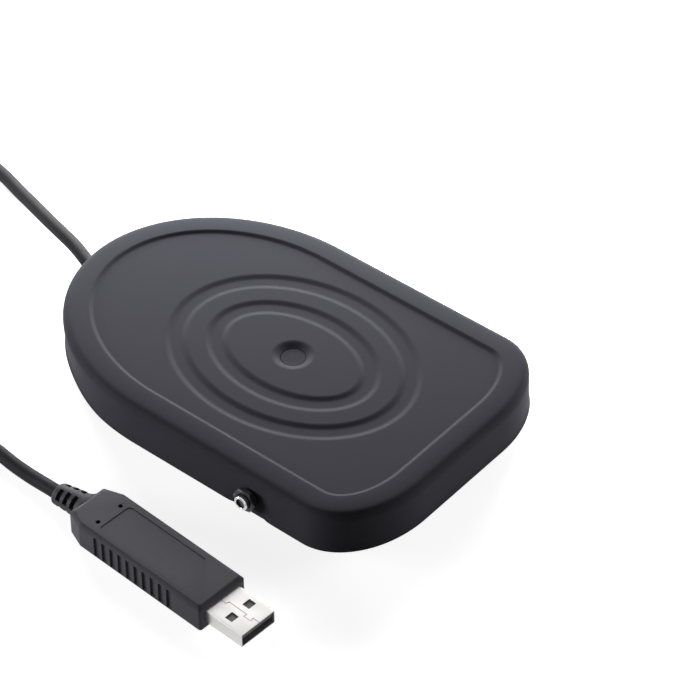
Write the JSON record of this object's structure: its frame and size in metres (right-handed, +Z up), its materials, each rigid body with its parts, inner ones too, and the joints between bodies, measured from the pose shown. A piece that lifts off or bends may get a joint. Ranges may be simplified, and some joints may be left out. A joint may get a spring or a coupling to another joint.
{
  "type": "usb foot pedal switch",
  "caption": "Low D-shaped metal foot pedal that tilts on side pivots to press a microswitch, with a captive cord and a long connector plug.",
  "frame": {"origin": "on the floor under the middle of the pedal cover", "axes": "+X across the pedal, +Y towards the round end where the cord leaves, +Z up"},
  "size_m": [0.1262, 0.2141, 0.0195],
  "materials": {
    "cover_paint": "satin black powder coat",
    "black_steel": "black oxide",
    "bright_steel": "polished",
    "base_paint": "satin black",
    "black_rubber": "matte",
    "white_nylon": "moulded",
    "spring_steel": "drawn wire",
    "zinc_steel": "zinc plated",
    "switch_plastic": "moulded",
    "plunger_plastic": "moulded",
    "terminal_brass": "plated",
    "wire_insulation": "extruded",
    "cord_jacket": "satin extruded",
    "tie_strap": "hook and loop",
    "plug_plastic": "fine texture",
    "connector_steel": "nickel plated",
    "insulator_plastic": "moulded",
    "board_green": "solder mask",
    "chip_plastic": "moulded"
  },
  "bodies": {
    "base": {"base_plate": "base_paint", "rubber_sole": "black_rubber", "rest_stops": "black_rubber", "down_stops": "black_rubber", "cord_grommet": "black_rubber", "pivot_bushes": "white_nylon", "spring_posts": "white_nylon", "return_springs": "spring_steel", "switch_bracket": "zinc_steel", "bracket_rivets": "zinc_steel", "switch_screws": "zinc_steel", "switch_nuts": "zinc_steel", "clamp_screws": "zinc_steel", "switch_case": "switch_plastic", "switch_lid": "switch_plastic", "cord_clamp": "switch_plastic", "switch_terminals": "terminal_brass", "usb_contacts": "terminal_brass", "switch_wires": "wire_insulation", "cord_inner": "cord_jacket", "cord_lead": "cord_jacket", "cord_coil": "cord_jacket", "cord_tail": "cord_jacket", "coil_tie": "tie_strap", "plug_boot": "plug_plastic", "plug_lower_shell": "plug_plastic", "plug_upper_shell": "plug_plastic", "usb_shell": "connector_steel", "usb_tongue": "insulator_plastic", "plug_board": "board_green", "plug_chip": "chip_plastic"},
    "pedal": {"pedal_cover": "cover_paint", "centre_rivet": "cover_paint", "striker": "zinc_steel", "pivot_studs": "bright_steel", "pivot_nuts": "black_steel", "pivot_washers": "black_steel"},
    "plunger": {"switch_plunger": "plunger_plastic"}
  },
  "joints": [
    {"name": "pedal_tilt", "type": "hinge", "parent": "base", "child": "pedal", "pos_m": [0, -0.0282, 0.0102], "axis": [-1, 0, 0], "range_deg": [0, 2.5], "stiffness_Nm_per_rad": 6.8, "springref_deg": -2.29, "deforming": ["return_springs"]},
    {"name": "plunger_slide", "type": "slide", "parent": "base", "child": "plunger", "axis": [0, 0, -1], "range_m": [0, 0.00096]}
  ],
  "couplings": [
    {"joint": "plunger_slide", "follows": "pedal_tilt", "m_per_rad": 0.0214}
  ]
}
